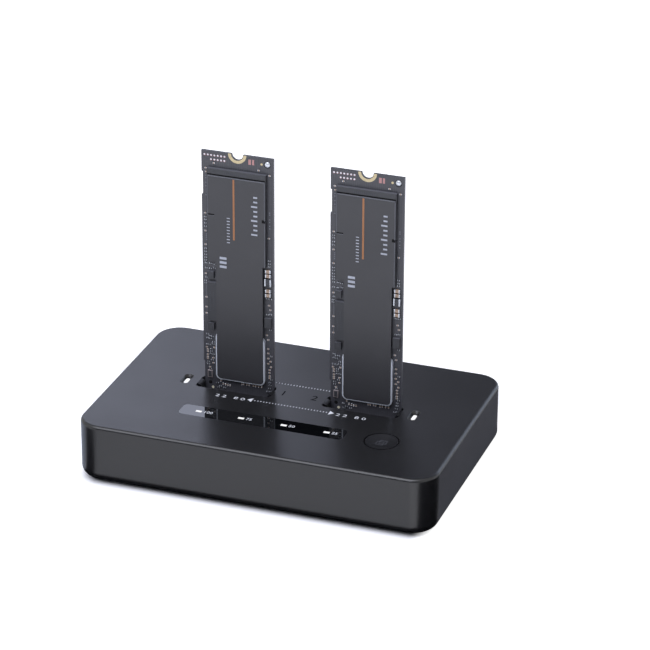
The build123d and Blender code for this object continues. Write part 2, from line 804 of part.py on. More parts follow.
def build_drive_board(name, bay_x):
    """Drive card: the keyed tongue at its foot, the half-round screw notch at its top."""
    middle = card_width / 2
    with BuildPart() as board:
        with BuildSketch(card_plane(bay_x, -card_thickness)):
            with Locations((middle, (card_length + tongue_length) / 2)):
                Rectangle(card_width, card_length - tongue_length)
            with Locations((middle, tongue_length / 2)):
                Rectangle(tongue_width, tongue_length)
            with Locations((middle, card_length)):
                Circle(mount_notch_diameter / 2, mode=Mode.SUBTRACT)
            with Locations((middle + key_offset, 0)):
                SlotOverall(2 * key_depth, key_width, rotation=90, mode=Mode.SUBTRACT)
            with Locations((0, edge_bite_middle)):
                Rectangle(2 * edge_bite_depth, edge_bite_length, mode=Mode.SUBTRACT)
            with Locations((0, edge_relief_height / 2)):
                Rectangle(2 * edge_relief_depth, edge_relief_height, mode=Mode.SUBTRACT)
        extrude(amount=card_thickness)
    save(board, name)


def build_contacts(name, bay_x):
    """Gold fingers on both faces of the tongue, left out at the key."""
    span = (finger_count - 1) * finger_pitch
    starts = [card_width / 2 - span / 2 + i * finger_pitch for i in range(finger_count)]
    key_x = card_width / 2 + key_offset
    clear = (key_width + finger_width) / 2
    places = [(x, finger_start + finger_length / 2) for x in starts if abs(x - key_x) > clear]
    with BuildPart() as contacts:
        for rise in (0, -card_thickness - plating_thickness):
            with BuildSketch(card_plane(bay_x, rise)):
                with Locations(*places):
                    Rectangle(finger_width, finger_length)
            extrude(amount=plating_thickness)
    save(contacts, name)


def build_mount_ring(name, bay_x):
    """Plated half ring round the screw notch, on both faces of the card."""
    notch_middle = (card_width / 2, card_length)
    with BuildPart() as ring:
        for rise in (0, -card_thickness - plating_thickness):
            with BuildSketch(card_plane(bay_x, rise)):
                with Locations(notch_middle):
                    Circle(mount_ring_diameter / 2)
                    Circle(mount_notch_diameter / 2 + mount_ring_setback, mode=Mode.SUBTRACT)
                    Rectangle(
                        mount_ring_diameter,
                        mount_ring_diameter,
                        align=(Align.CENTER, Align.MIN),
                        mode=Mode.SUBTRACT,
                    )
            extrude(amount=plating_thickness)
    save(ring, name)


def build_chip(name, bay_x, left, start, width, length, height):
    """Plain moulded chip on the card's front face."""
    with BuildPart() as chip:
        with BuildSketch(card_plane(bay_x, 0)):
            with Locations((left + width / 2, start + length / 2)):
                Rectangle(width, length)
        extrude(amount=height)
    save(chip, name)


def build_lid(name, bay_x):
    """Controller under a nickel-plated lid with round corners."""
    with BuildPart() as lid:
        with BuildSketch(card_plane(bay_x, 0)):
            with Locations((lid_left + lid_size / 2, lid_start + lid_size / 2)):
                RectangleRounded(lid_size, lid_size, lid_corner)
        extrude(amount=chip_height)
    save(lid, name)


def build_label(name, bay_x):
    """Label over the chips: wide on the memory, narrow below, inside the lid's edge at its foot."""
    low_left = lid_left + lid_border
    low_right = lid_left + lid_size - lid_border
    foot = lid_start + lid_border
    with BuildPart() as label:
        with BuildSketch(card_plane(bay_x, chip_height)) as outline:
            with BuildLine():
                Polyline(
                    (low_left, foot),
                    (low_right, foot),
                    (low_right, label_step),
                    (label_upper_right, label_step),
                    (label_upper_right, label_top),
                    (label_upper_left, label_top),
                    (label_upper_left, label_step),
                    (low_left, label_step),
                    close=True,
                )
            make_face()
            fillet(outline.vertices().group_by(Axis.Y)[0], label_corner)
        extrude(amount=label_thickness)
    save(label, name)


def build_power_chips(name, bay_x):
    """Voltage regulators in the left strip, one beyond each end of the cache chip."""
    middle = cache_left + power_chip_width / 2
    places = [(middle, start + power_chip_length / 2) for start in power_chip_starts]
    with BuildPart() as chips:
        with BuildSketch(card_plane(bay_x, 0)):
            with Locations(*places):
                Rectangle(power_chip_width, power_chip_length)
        extrude(amount=power_chip_height)
    save(chips, name)


def build_capacitors(name, bay_x):
    """Two pairs of large ceramic capacitors by the right edge, one on each side of the filter."""
    middles = (capacitor_1, capacitor_2, capacitor_3, capacitor_4)
    with BuildPart() as capacitors:
        with BuildSketch(card_plane(bay_x, 0)):
            with Locations(*[(edge_column_x, middle) for middle in middles]):
                Rectangle(capacitor_length, capacitor_width)
        extrude(amount=capacitor_height)
    save(capacitors, name)


# The two drives, alike
for number, bay_x in enumerate(bay_centres, start=1):
    drive = f"drive_{number}"
    build_drive_board(f"{drive}_board", bay_x)
    build_contacts(f"{drive}_edge_contacts", bay_x)
    build_mount_ring(f"{drive}_mount_ring", bay_x)
    build_chip(
        f"{drive}_memory_lower",
        bay_x,
        memory_left,
        memory_lower_start,
        memory_width,
        memory_length,
        chip_height,
    )
    build_chip(
        f"{drive}_memory_upper",
        bay_x,
        memory_left,
        memory_upper_start,
        memory_width,
        memory_length,
        chip_height,
    )
    build_chip(f"{drive}_cache_chip", bay_x, cache_left, cache_start, cache_width, cache_length, chip_height)
    build_lid(f"{drive}_controller", bay_x)
    build_label(f"{drive}_label", bay_x)
    build_power_chips(f"{drive}_power_chips", bay_x)
    build_chip(
        f"{drive}_edge_chip",
        bay_x,
        edge_column_x - edge_chip_width / 2,
        edge_chip_start,
        edge_chip_width,
        edge_chip_length,
        power_chip_height,
    )
    build_chip(
        f"{drive}_filter",
        bay_x,
        edge_column_x - filter_width / 2,
        filter_middle - filter_length / 2,
        filter_width,
        filter_length,
        filter_height,
    )
    build_capacitors(f"{drive}_capacitors", bay_x)
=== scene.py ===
import math

import bmesh
import bpy
from mathutils import Matrix, Vector


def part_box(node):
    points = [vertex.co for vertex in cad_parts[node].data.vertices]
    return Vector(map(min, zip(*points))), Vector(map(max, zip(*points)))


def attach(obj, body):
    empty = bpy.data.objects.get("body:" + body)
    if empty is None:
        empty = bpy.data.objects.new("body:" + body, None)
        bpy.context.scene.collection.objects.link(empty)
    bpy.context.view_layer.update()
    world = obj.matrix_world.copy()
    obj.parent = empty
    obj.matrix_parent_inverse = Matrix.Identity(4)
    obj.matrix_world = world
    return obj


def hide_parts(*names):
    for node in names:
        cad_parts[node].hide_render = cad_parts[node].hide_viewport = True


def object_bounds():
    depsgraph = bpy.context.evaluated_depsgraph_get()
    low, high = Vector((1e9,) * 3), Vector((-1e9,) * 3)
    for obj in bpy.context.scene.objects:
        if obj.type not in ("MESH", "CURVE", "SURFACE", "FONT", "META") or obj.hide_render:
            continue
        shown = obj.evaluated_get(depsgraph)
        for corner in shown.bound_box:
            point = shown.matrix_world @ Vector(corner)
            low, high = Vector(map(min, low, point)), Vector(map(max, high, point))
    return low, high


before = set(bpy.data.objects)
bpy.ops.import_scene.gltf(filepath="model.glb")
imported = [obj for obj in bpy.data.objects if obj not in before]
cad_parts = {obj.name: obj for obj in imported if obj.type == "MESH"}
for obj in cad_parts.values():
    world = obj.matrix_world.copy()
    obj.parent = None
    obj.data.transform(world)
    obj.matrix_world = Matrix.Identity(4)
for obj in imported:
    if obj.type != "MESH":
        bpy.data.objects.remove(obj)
cad_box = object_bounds()
MM = 0.001

# Camera: a long lens, 0.92 m off, to the right of the front and above, at the photograph's angle.
# The frame is 650 by 650 pixels, so the sensor's width is the frame's width.
camera_azimuth = math.radians(19.352)
camera_elevation = math.radians(25.326)
camera_roll = math.radians(0.272)
camera_distance = 0.9223
camera_target = Vector((10.069, 0.0, 44.358)) * MM
camera_lens = 178.14
sensor_width = 36.0

back = Vector(
    (
        math.sin(camera_azimuth) * math.cos(camera_elevation),
        -math.cos(camera_azimuth) * math.cos(camera_elevation),
        math.sin(camera_elevation),
    )
)
level_right = Vector((math.cos(camera_azimuth), math.sin(camera_azimuth), 0))
level_up = back.cross(level_right)
right = level_right * math.cos(camera_roll) + level_up * math.sin(camera_roll)
up = level_up * math.cos(camera_roll) - level_right * math.sin(camera_roll)
camera = bpy.data.objects.new("camera", bpy.data.cameras.new("camera"))
camera.data.lens = camera_lens
camera.data.sensor_width = sensor_width
turn = Matrix((right, up, back)).transposed().to_4x4()
camera.matrix_world = Matrix.Translation(camera_target + back * camera_distance) @ turn
bpy.context.scene.collection.objects.link(camera)
bpy.context.scene.camera = camera
bpy.context.scene.view_settings.view_transform = "Standard"

# Studio: a pale floor under plain soft light. The white round the object is what the camera, the gloss
# and clear parts look out on; the light that falls on the object is set apart from it.
fill_light = 0.2
white_level = 1.0


def srgb(code):
    """Turns an sRGB hex colour into linear red, green, blue and alpha."""
    parts = [int(code[i : i + 2], 16) / 255 for i in (1, 3, 5)]
    linear = [c / 12.92 if c <= 0.04045 else ((c + 0.055) / 1.055) ** 2.4 for c in parts]
    return (*linear, 1.0)


def add_node(tree, kind, inputs=None, **settings):
    """Adds a node, sets its properties and fills its inputs with values or links."""
    node = tree.nodes.new(kind)
    for name, value in settings.items():
        setattr(node, name, value)
    for key, value in (inputs or {}).items():
        if isinstance(value, bpy.types.NodeSocket):
            tree.links.new(value, node.inputs[key])
        else:
            node.inputs[key].default_value = value
    return node


def looks_out(tree):
    """1 for rays from the camera, from gloss and through clear parts, else 0."""
    path = add_node(tree, "ShaderNodeLightPath")
    seen = path.outputs["Is Camera Ray"]
    for ray in ("Is Glossy Ray", "Is Transmission Ray"):
        either = add_node(tree, "ShaderNodeMath", {0: seen, 1: path.outputs[ray]}, operation="MAXIMUM")
        seen = either.outputs[0]
    return seen


world = bpy.data.worlds.new("studio")
world.use_nodes = True
tree = world.node_tree
tree.nodes.clear()
fill = add_node(tree, "ShaderNodeBackground", {"Color": srgb("#e8edfb"), "Strength": fill_light})
white = add_node(tree, "ShaderNodeBackground", {"Color": srgb("#ffffff"), "Strength": white_level})
mixed = add_node(tree, "ShaderNodeMixShader", {0: looks_out(tree), 1: fill.outputs[0], 2: white.outputs[0]})
add_node(tree, "ShaderNodeOutputWorld", {"Surface": mixed.outputs[0]})
bpy.context.scene.world = world

# The floor is matt paper, made white by a glow of its own on the rays that look out. The glow starts at the
# case's outline, so that the floor keeps a contact shadow; along the right side, where the photograph shows
# no shadow, it starts under the case. Starts and ends are distances outwards from the outline.
floor_half = 3.0
near_glow = 0.6
far_glow = 0.5
side_glow = 0.9
outline_corner = 7 * MM
near_starts = -3.5 * MM
near_ends = 3.5 * MM
far_ends = 393 * MM
side_starts = -7 * MM
side_ends = -1 * MM
floor_paint = bpy.data.materials.new("matt_white_paper")
floor_paint.use_nodes = True
tree = floor_paint.node_tree
paper = tree.nodes["Principled BSDF"]
paper.inputs["Base Color"].default_value = srgb("#f2f2f4")
paper.inputs["Roughness"].default_value = 0.9
paper.inputs["Specular IOR Level"].default_value = 0.0
place = add_node(tree, "ShaderNodeTexCoord")
case_half = (cad_box[1] - cad_box[0]) / 2
case_middle = (cad_box[1] + cad_box[0]) / 2
shifted = add_node(
    tree,
    "ShaderNodeVectorMath",
    {0: place.outputs["Object"], 1: (case_middle.x, case_middle.y, 0)},
    operation="SUBTRACT",
)
mirrored = add_node(tree, "ShaderNodeVectorMath", {0: shifted.outputs[0]}, operation="ABSOLUTE")
beyond = add_node(
    tree,
    "ShaderNodeVectorMath",
    {0: mirrored.outputs[0], 1: (case_half.x - outline_corner, case_half.y - outline_corner, 0)},
    operation="SUBTRACT",
)
outside = add_node(tree, "ShaderNodeVectorMath", {0: beyond.outputs[0], 1: (0, 0, 0)}, operation="MAXIMUM")
reach = add_node(tree, "ShaderNodeVectorMath", {0: outside.outputs[0]}, operation="LENGTH")
near = add_node(
    tree,
    "ShaderNodeMapRange",
    {
        "Value": reach.outputs["Value"],
        "From Min": outline_corner + near_starts,
        "From Max": outline_corner + near_ends,
        "To Max": near_glow,
    },
    interpolation_type="SMOOTHSTEP",
)
far = add_node(
    tree,
    "ShaderNodeMapRange",
    {
        "Value": reach.outputs["Value"],
        "From Min": outline_corner,
        "From Max": outline_corner + far_ends,
        "To Max": far_glow,
    },
)
spread = add_node(tree, "ShaderNodeMath", {0: near.outputs[0], 1: far.outputs[0]}, operation="ADD")
split = add_node(tree, "ShaderNodeSeparateXYZ", {"Vector": place.outputs["Object"]})
beside = add_node(
    tree,
    "ShaderNodeMapRange",
    {
        "Value": split.outputs["X"],
        "From Min": cad_box[1].x + side_starts,
        "From Max": cad_box[1].x + side_ends,
        "To Max": side_glow,
    },
    interpolation_type="SMOOTHSTEP",
)
lifted = add_node(
    tree,
    "ShaderNodeMath",
    {0: spread.outputs[0], 1: beside.outputs[0]},
    operation="ADD",
    use_clamp=True,
)
strength = add_node(
    tree, "ShaderNodeMath", {0: looks_out(tree), 1: lifted.outputs[0]}, operation="MULTIPLY"
)
glow = add_node(tree, "ShaderNodeEmission", {"Color": srgb("#ffffff"), "Strength": strength.outputs[0]})
both = add_node(tree, "ShaderNodeAddShader", {0: paper.outputs[0], 1: glow.outputs[0]})
tree.links.new(both.outputs[0], tree.nodes["Material Output"].inputs["Surface"])


def stage_card(name, corners, material):
    """A flat card of the studio, from its four corners in metres."""
    bm = bmesh.new()
    bm.faces.new([bm.verts.new(corner) for corner in corners])
    mesh = bpy.data.meshes.new(name)
    bm.to_mesh(mesh)
    bm.free()
    mesh.materials.append(material)
    card = bpy.data.objects.new(name, mesh)
    bpy.context.scene.collection.objects.link(card)
    return card


def lying(left, right, front, back, height):
    """Corners of a level rectangle."""
    return [(left, front, height), (right, front, height), (right, back, height), (left, back, height)]


stage_card("floor", lying(-floor_half, floor_half, -floor_half, floor_half, 0), floor_paint)

# One soft lamp above, in front and a little to the left; its radiance is how bright its face looks.
lamp_place = Vector((-0.12, -0.40, 0.72))
lamp_aim = Vector((0.0, 0.0, 0.03))
lamp_side = 0.75
lamp_radiance = 4.2
lamp = bpy.data.lights.new("lamp_above", "AREA")
lamp.shape = "RECTANGLE"
lamp.size = lamp_side
lamp.size_y = lamp_side
lamp.energy = lamp_radiance * math.pi * lamp_side * lamp_side
lamp.color = srgb("#edf0fd")[:3]
holder = bpy.data.objects.new("lamp_above", lamp)
facing = (lamp_place - lamp_aim).to_track_quat("Z", "Y")
holder.matrix_world = Matrix.Translation(lamp_place) @ facing.to_matrix().to_4x4()
holder.visible_camera = False
bpy.context.scene.collection.objects.link(holder)


# Cards that only gloss can see. Those behind give the satin black its bluish sheen, brightest at the left,
# and light the right rim and the slopes in the openings; a black strip keeps the sheen out of the polished
# window. A black card in front keeps the front dark. Cards on the floor shade the foot and the corners, or
# set how light the sides look.
def card_paint(name, colour, left, right=None, left_x=-1.0, right_x=1.0):
    """Plain glowing card; its radiance may run from left to right between two places in X."""
    material = bpy.data.materials.new(name)
    material.use_nodes = True
    tree = material.node_tree
    tree.nodes.clear()
    place = add_node(tree, "ShaderNodeTexCoord")
    split = add_node(tree, "ShaderNodeSeparateXYZ", {"Vector": place.outputs["Object"]})
    level = add_node(
        tree,
        "ShaderNodeMapRange",
        {
            "Value": split.outputs["X"],
            "From Min": left_x,
            "From Max": right_x,
            "To Min": left,
            "To Max": left if right is None else right,
        },
    )
    glow = add_node(tree, "ShaderNodeEmission", {"Color": srgb(colour), "Strength": level.outputs[0]})
    add_node(tree, "ShaderNodeOutputMaterial", {"Surface": glow.outputs[0]})
    return material


panel_paint = card_paint("dim_panel", "#eceeff", 0.5, 0.26, -0.24, -0.09)
band_paint = card_paint("bluish_band", "#e2e8ff", 2.8, 0.15, -0.195, -0.10)
bright_paint = card_paint("bright_card", "#dce9ff", 2.4)
facet_paint = card_paint("facet_card", "#e2e8ff", 2.5)
black_paint = card_paint("black_card", "#ffffff", 0.0)
grey_paint = card_paint("grey_card", "#e8ebff", 0.25)
pale_paint = card_paint("pale_card", "#dbe6ff", 1.05)


def upright(left, right, low, high, y):
    """Corners of a card that stands upright, facing the front."""
    return [(left, y, low), (right, y, low), (right, y, high), (left, y, high)]


# Two heights, so that no two cards on the floor touch where they overlap.
lower_card = 0.2 * MM
upper_card = 0.3 * MM


def on_floor(points, height=upper_card):
    """Corners of a card that lies just over the floor, from its places in X and Y."""
    return [(x, y, height) for x, y in points]


card_places = {
    "panel_behind": (panel_paint, upright(-0.7, 0.6, 0.0, 0.65, 0.52)),
    "panel_slope": (
        panel_paint,
        [(-0.7, 0.52, 0.65), (0.6, 0.52, 0.65), (0.6, 0.26, 0.85), (-0.7, 0.26, 0.85)],
    ),
    "band_behind": (band_paint, upright(-0.6, 0.2, 0.24, 0.385, 0.50)),
    "panel_front": (black_paint, upright(-0.9, 0.9, 0.03, 0.75, -0.95)),
    "panel_facets": (facet_paint, upright(-0.02, 0.10, 0.285, 0.385, 0.455)),
    "panel_rim": (bright_paint, upright(0.11, 0.38, 0.04, 0.34, 0.455)),
    "card_foot": (black_paint, lying(-0.0575, 0.0575, -0.0392, 0.0392, lower_card)),
    "strip_behind": (black_paint, upright(-0.178, 0.45, 0.255, 0.345, 0.46)),
    "card_right": (
        black_paint,
        on_floor(
            [
                (0.0505, -0.0365),
                (0.1120, -0.1120),
                (0.2000, -0.1200),
                (0.2000, 0.0250),
                (0.0790, 0.0250),
                (0.0546, -0.0295),
            ]
        ),
    ),
    "card_side": (
        grey_paint,
        on_floor([(0.0546, -0.0285), (0.0790, 0.0260), (0.11, 0.09), (0.0546, 0.09)]),
    ),
    "card_beside": (
        pale_paint,
        on_floor([(-0.055, -0.0325), (-0.055, 0.09), (-0.2, 0.16), (-0.2, -0.04)], lower_card),
    ),
    "card_left": (
        black_paint,
        on_floor(
            [
                (-0.0490, -0.0368),
                (-0.0535, -0.0335),
                (-0.1100, -0.0400),
                (-0.1200, -0.0650),
                (-0.0750, -0.0740),
            ]
        ),
    ),
}
for card_name, (card_material, corners) in card_places.items():
    card = stage_card(card_name, corners, card_material)
    card.visible_camera = False
    card.visible_diffuse = False
    card.visible_transmission = False
    card.visible_shadow = False


# Upper casing and floor tray: injection-moulded ABS in satin black, from tools with a fine spark texture.
# The tray clips its lip inside the shell and four screws pull the two together from below.
def start_material(name, values):
    """Starts a node material with its shader's own sockets set; returns the material, tree and shader."""
    material = bpy.data.materials.new(name)
    material.use_nodes = True
    tree = material.node_tree
    shader = tree.nodes["Principled BSDF"]
    for socket, value in values.items():
        shader.inputs[socket].default_value = value
    return material, tree, shader


def vary(tree, shader, socket, size, low, high):
    """Lets a socket wander between two numbers or two colours, over patches of the given size in mm."""
    place = add_node(tree, "ShaderNodeTexCoord")
    patches = add_node(
        tree, "ShaderNodeTexNoise", {"Vector": place.outputs["Object"], "Scale": 1 / (size * MM)}
    )
    share = patches.outputs["Fac"]
    if isinstance(low, str):
        spread = add_node(
            tree, "ShaderNodeMixRGB", {"Fac": share, "Color1": srgb(low), "Color2": srgb(high)}
        )
    else:
        spread = add_node(tree, "ShaderNodeMapRange", {"Value": share, "To Min": low, "To Max": high})
    tree.links.new(spread.outputs[0], shader.inputs[socket])


def roughen(tree, shader, size, depth, strength=1.0):
    """Gives a surface a fine grain, with its size and depth in mm."""
    place = add_node(tree, "ShaderNodeTexCoord")
    grit = add_node(
        tree, "ShaderNodeTexNoise", {"Vector": place.outputs["Object"], "Scale": 1 / (size * MM)}
    )
    bump = add_node(
        tree,
        "ShaderNodeBump",
        {"Height": grit.outputs["Fac"], "Distance": depth * MM, "Strength": strength},
    )
    tree.links.new(bump.outputs["Normal"], shader.inputs["Normal"])


def paint(nodes, material):
    """Gives CAD nodes a material."""
    for node in nodes:
        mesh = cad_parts[node].data
        mesh.materials.clear()
        mesh.materials.append(material)


# Black without a tint; the spark texture blurs its gloss to a satin sheen. The real grit is about 0.1 mm;
# it is drawn at 0.35 mm, so that the render shows its sparkle.
satin_abs, tree, shader = start_material("satin_moulded_abs", {"Base Color": srgb("#151517"), "IOR": 1.52})
vary(tree, shader, "Roughness", 14, 0.28, 0.34)
roughen(tree, shader, 0.35, 0.012)
paint(["top_shell", "base_tray"], satin_abs)

# Feet: four discs of black silicone rubber, glued into round seats under the tray.
# The rubber is matt and a little dusty.
rubber, tree, shader = start_material("silicone_rubber", {"IOR": 1.41, "Roughness": 0.75})
vary(tree, shader, "Base Color", 3, "#1b1b1c", "#26262a")
roughen(tree, shader, 0.25, 0.01)
paint(["foot_front_left", "foot_front_right", "foot_rear_left", "foot_rear_right"], rubber)

# Screws: self-tapping steel, zinc plated and blackened, four for the case and four for the board.
# The plating is smooth, with a faint cloudiness.
black_zinc, tree, shader = start_material(
    "black_zinc_steel", {"Base Color": srgb("#3c3d40"), "Metallic": 1.0}
)
vary(tree, shader, "Roughness", 0.8, 0.25, 0.45)
paint(["case_screws", "board_screws"], black_zinc)


# Main board: glass-epoxy laminate under black solder mask, screwed to four standoffs of the tray.
# Copper tracks lift the mask a little, so they show as slightly lighter lines.
def solder_mask(name, ground, track, across, along):
    """Solder mask over tracks, laid in the plane of two object axes."""
    material, tree, shader = start_material(name, {"Roughness": 0.42, "IOR": 1.55})
    place = add_node(tree, "ShaderNodeTexCoord")
    split = add_node(tree, "ShaderNodeSeparateXYZ", {"Vector": place.outputs["Object"]})
    flat = add_node(tree, "ShaderNodeCombineXYZ", {"X": split.outputs[along], "Y": split.outputs[across]})
    tracks = add_node(
        tree,
        "ShaderNodeTexBrick",
        {
            "Vector": flat.outputs[0],
            "Color1": srgb(ground),
            "Color2": srgb(ground),
            "Mortar": srgb(track),
            "Scale": 1 / MM,
            "Mortar Size": 0.07,
            "Mortar Smooth": 0.3,
            "Brick Width": 4.3,
            "Row Height": 0.55,
        },
        offset=0.37,
        squash=0.6,
        squash_frequency=3,
    )
    tree.links.new(tracks.outputs["Color"], shader.inputs["Base Color"])
    lift = add_node(
        tree, "ShaderNodeBump", {"Height": tracks.outputs["Fac"], "Distance": 0.03 * MM, "Strength": 0.5}
    )
    tree.links.new(lift.outputs["Normal"], shader.inputs["Normal"])
    return material


paint(["main_board"], solder_mask("board_solder_mask", "#0f1512", "#1a2620", "Y", "X"))

# Parts on the main board: bridge and copier chips in black moulding epoxy, shielded ferrite inductors and
# two aluminium can capacitors on their black bases. The epoxy is dull with soft patches, the ferrite matt
# and mottled, and the cans shine above their bases.
chip_epoxy, tree, shader = start_material("moulding_epoxy", {"IOR": 1.55})
vary(tree, shader, "Base Color", 1.5, "#2f3034", "#36373b")
vary(tree, shader, "Roughness", 2, 0.45, 0.6)
roughen(tree, shader, 0.12, 0.004)
board_chips = ["bridge_chip_1", "bridge_chip_2", "copy_controller_chip"]
paint([*board_chips, "copy_switch_body", "power_switch_body"], chip_epoxy)

ferrite, tree, shader = start_material("sintered_ferrite", {"Roughness": 0.65})
vary(tree, shader, "Base Color", 0.6, "#37383b", "#4b4c50")
paint(["inductors"], ferrite)

can_base_height = 1.25 * MM
can_base_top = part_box("can_capacitors")[0].z + can_base_height
can_metal, tree, shader = start_material("aluminium_can_on_base", {"Roughness": 0.35})
place = add_node(tree, "ShaderNodeTexCoord")
split = add_node(tree, "ShaderNodeSeparateXYZ", {"Vector": place.outputs["Object"]})
above = add_node(
    tree, "ShaderNodeMath", {0: split.outputs["Z"], 1: can_base_top}, operation="GREATER_THAN"
)
tree.links.new(above.outputs[0], shader.inputs["Metallic"])
tint = add_node(tree, "ShaderNodeMixRGB", {0: above.outputs[0], 1: srgb("#141414"), 2: srgb("#c9ccd0")})
tree.links.new(tint.outputs[0], shader.inputs["Base Color"])
paint(["can_capacitors"], can_metal)

# Card sockets: black liquid-crystal polymer, soldered upright to the board, two under each bay opening.
# The rear ones hold the drives. Sprung contacts line both walls of each slot, in gold worn to a satin.
lcp, tree, shader = start_material("socket_polymer", {"Base Color": srgb("#17181a"), "IOR": 1.6})
vary(tree, shader, "Roughness", 2, 0.4, 0.55)
gold, tree, shader = start_material("contact_gold", {"Base Color": srgb("#dcb866"), "Metallic": 1.0})
vary(tree, shader, "Roughness", 0.8, 0.22, 0.36)
spring_pitch = 0.5 * MM
spring_width = 0.22 * MM
spring_thickness = 0.02 * MM
spring_count = 38
slot_half = 0.45 * MM
spring_top_gap = 0.5 * MM
spring_length = 2.8 * MM
spring_half = spring_width / 2


def add_block(bm, low, high, edge=0.0):
    """Adds a box between two corners, with its edges bevelled where an edge is given."""
    low, high = Vector(low), Vector(high)
    size = Matrix.Diagonal((*(high - low), 1))
    matrix = Matrix.Translation((low + high) / 2) @ size
    corners = bmesh.ops.create_cube(bm, size=1, matrix=matrix)["verts"]
    if edge:
        edges = list({e for v in corners for e in v.link_edges})
        bmesh.ops.bevel(bm, geom=edges, offset=edge, affect="EDGES", segments=1, profile=0.5, material=-1)


def make_piece(name, bm, body, material):
    """Turns a bmesh into a piece that rides on a body, with its material."""
    bmesh.ops.recalc_face_normals(bm, faces=bm.faces)
    mesh = bpy.data.meshes.new(name)
    bm.to_mesh(mesh)
    bm.free()
    mesh.materials.append(material)
    piece = bpy.data.objects.new(name, mesh)
    bpy.context.scene.collection.objects.link(piece)
    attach(piece, body)
    return piece


for bay in (1, 2):
    for row in ("front", "rear"):
        socket_name = f"bay_{bay}_{row}_socket"
        paint([socket_name], lcp)
        low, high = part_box(socket_name)
        middle = (low + high) / 2
        top = high.z - spring_top_gap
        bm = bmesh.new()
        for i in range(spring_count):
            x = middle.x + (i - (spring_count - 1) / 2) * spring_pitch
            for side in (-1, 1):
                wall = middle.y + side * slot_half
                face = wall - side * spring_thickness
                near, far = min(wall, face), max(wall, face)
                foot = top - spring_length
                add_block(bm, (x - spring_half, near, foot), (x + spring_half, far, top))
        make_piece(f"bay_{bay}_{row}_socket_springs", bm, "dock", gold)

# Progress window: a strip of black acrylic, polished like a mirror and stuck into its seat, with four
# slots for the light guide. Its figures are screen printed beside the marks, in an ink of dull white.
gloss_acrylic, tree, shader = start_material(
    "polished_black_acrylic", {"Base Color": srgb("#0c0d0f"), "Roughness": 0.02, "IOR": 1.49}
)
roughen(tree, shader, 9.0, 0.002, 0.15)
paint(["progress_window"], gloss_acrylic)
white_ink, tree, shader = start_material("white_screen_ink", {"IOR": 1.45})
vary(tree, shader, "Base Color", 0.5, "#e6e8ec", "#f6f7f9")
vary(tree, shader, "Roughness", 0.4, 0.4, 0.6)
ink_thickness = 0.02 * MM
figure_height = 1.35 * MM
figure_gap = 1.5 * MM
cap_share = 0.72
ink_weld = 0.002 * MM


def add_figures(bm, words, height, place, align="CENTER", spacing=1.0, width=1.0):
    """Adds plain figures to a bmesh, as raised ink that lies flat with its foot towards the front."""
    curve = bpy.data.curves.new("figures", "FONT")
    curve.body = words
    curve.size = height / cap_share
    curve.space_character = spacing
    curve.align_x = align
    curve.align_y = "CENTER"
    curve.extrude = ink_thickness / 2
    curve.resolution_u = 4
    source = bpy.data.objects.new("figures", curve)
    bpy.context.scene.collection.objects.link(source)
    mesh = bpy.data.meshes.new_from_object(source)
    mesh.transform(Matrix.Translation(place) @ Matrix.Diagonal((width, 1, 1, 1)))
    bm.from_mesh(mesh)
    bpy.data.objects.remove(source)
    bpy.data.meshes.remove(mesh)
    bpy.data.curves.remove(curve)


window_low, window_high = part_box("progress_window")
top_z = window_high.z
window_middle = (window_low + window_high) / 2
print_middle = top_z + ink_thickness / 2
bar_pitch = 13.05 * MM
bar_words = ("100", "75", "50", "25")
bm = bmesh.new()
for i, words in enumerate(bar_words):
    bar_x = window_middle.x + (i - (len(bar_words) - 1) / 2) * bar_pitch
    add_figures(bm, words, figure_height, (bar_x + figure_gap, window_middle.y, print_middle), "LEFT")
bmesh.ops.remove_doubles(bm, verts=bm.verts, dist=ink_weld)
make_piece("progress_figures", bm, "dock", white_ink)

# Lit parts: the clear guide under the window, a light pipe in each recess and the lamps on the board.
# Their moulded acrylic glows a plain white while the dock is on.
lit_acrylic, tree, shader = start_material(
    "lit_acrylic_guide",
    {
        "Base Color": srgb("#58595b"),
        "Emission Color": srgb("#ffffff"),
        "Emission Strength": 0.9,
    },
)
vary(tree, shader, "Roughness", 0.5, 0.25, 0.4)
paint(["progress_light_guide", "bay_1_light_pipe", "bay_2_light_pipe", "indicator_leds"], lit_acrylic)

# Printing on the shell: dotted lines that join the bays, arrow heads at their ends, and the cards' width and
# length in plain figures, all pad printed in white ink. The dots' ink is thin, so that it looks light grey.
# The layout's middle is that of the two bays, a little to the right of the case's.
grey_ink, tree, shader = start_material("grey_pad_ink", {"IOR": 1.45, "Roughness": 0.5})
vary(tree, shader, "Base Color", 0.5, "#c8cad2", "#dcdee4")
dot_radius = 0.17 * MM
dot_stretch = 2.0
dot_pitch = 0.92 * MM
layout_x = 1.1 * MM
line_half = 11.35 * MM
line_places = {"front": -4.3 * MM, "back": 8.9 * MM}
dot_sides = 10
bm = bmesh.new()
for line_y in line_places.values():
    dots = int(line_half / dot_pitch)
    for i in range(-dots, dots + 1):
        spot = Matrix.Translation((layout_x + i * dot_pitch, line_y, print_middle))
        spot @= Matrix.Diagonal((1, dot_stretch, 1, 1))
        bmesh.ops.create_cone(
            bm, cap_ends=True, segments=dot_sides, radius1=dot_radius, radius2=dot_radius,
            depth=ink_thickness, matrix=spot,
        )
make_piece("shell_dotted_lines", bm, "dock", grey_ink)

